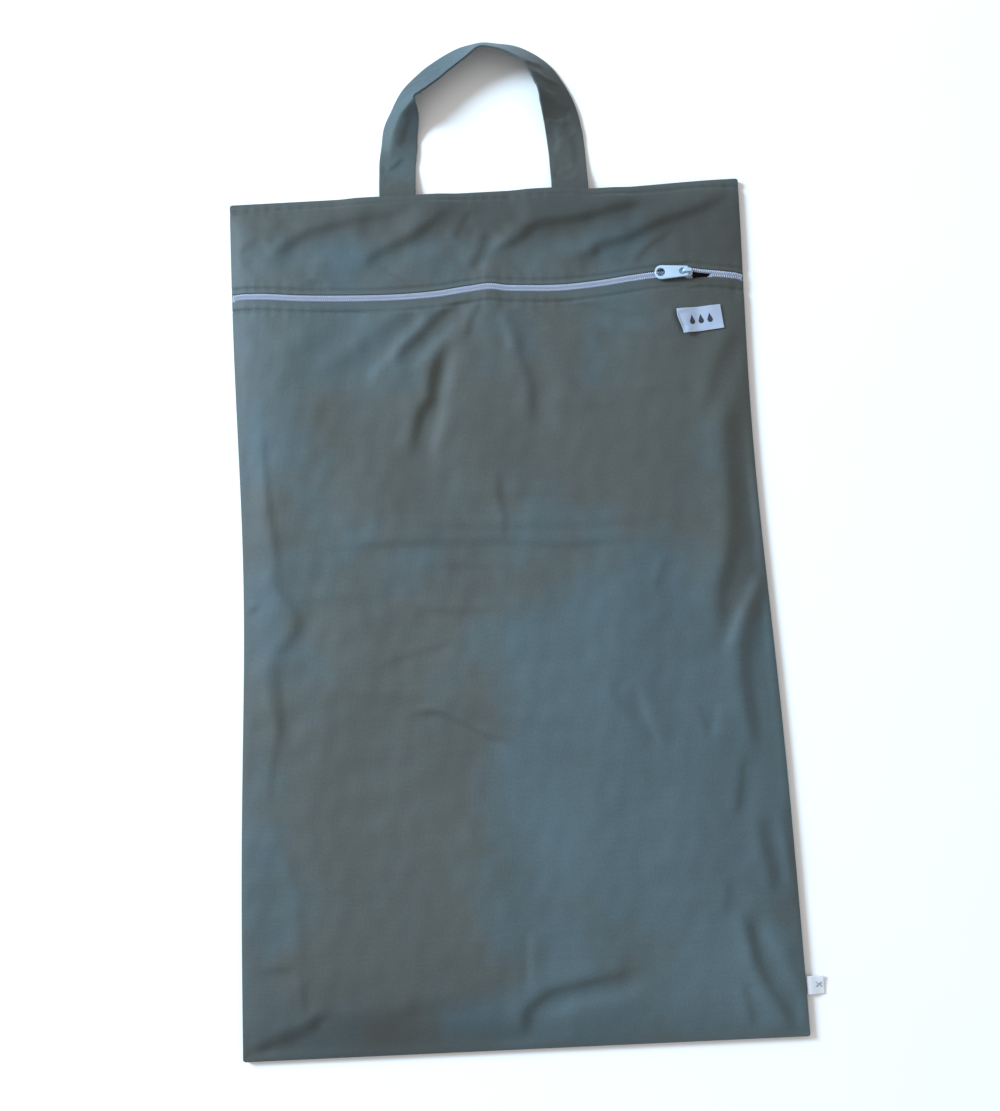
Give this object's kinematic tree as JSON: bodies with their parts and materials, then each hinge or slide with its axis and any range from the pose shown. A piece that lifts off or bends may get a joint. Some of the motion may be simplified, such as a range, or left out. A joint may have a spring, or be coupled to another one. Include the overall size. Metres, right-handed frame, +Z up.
{
  "type": "cloth diaper wet bag",
  "caption": "Large flat bag of water-resistant fabric with a zip across its front, a hanging strap at the top and a small woven label.",
  "frame": {"origin": "the middle of the back panel's underside, on the floor that the bag lies on", "axes": "+X to the right seen from the front, +Y towards the hanging strap, +Z up out of the front"},
  "size_m": [0.4129, 0.7671, 0.0232],
  "materials": {
    "fabric": "semi-matte",
    "zip_white": "satin",
    "coil_white": "satin",
    "enamel_white": "gloss",
    "label_satin": "satin"
  },
  "bodies": {
    "bag": {"back_panel": "fabric", "front_lower_panel": "fabric", "front_upper_panel": "fabric", "zip_tape_upper": "zip_white", "zip_tape_lower": "zip_white", "zip_coil_upper": "coil_white", "zip_coil_lower": "coil_white", "handle_strap": "fabric", "woven_label": "label_satin", "care_tag": "label_satin", "zip_slider": "enamel_white"},
    "pull_tab": {"pull_tab": "enamel_white"}
  },
  "joints": [
    {"name": "pull_tab_hinge", "type": "hinge", "parent": "bag", "child": "pull_tab", "pos_m": [0.15184, 0.24198, 0.01571], "axis": [0.0078, 1, 0], "range_deg": [0, 165]}
  ]
}
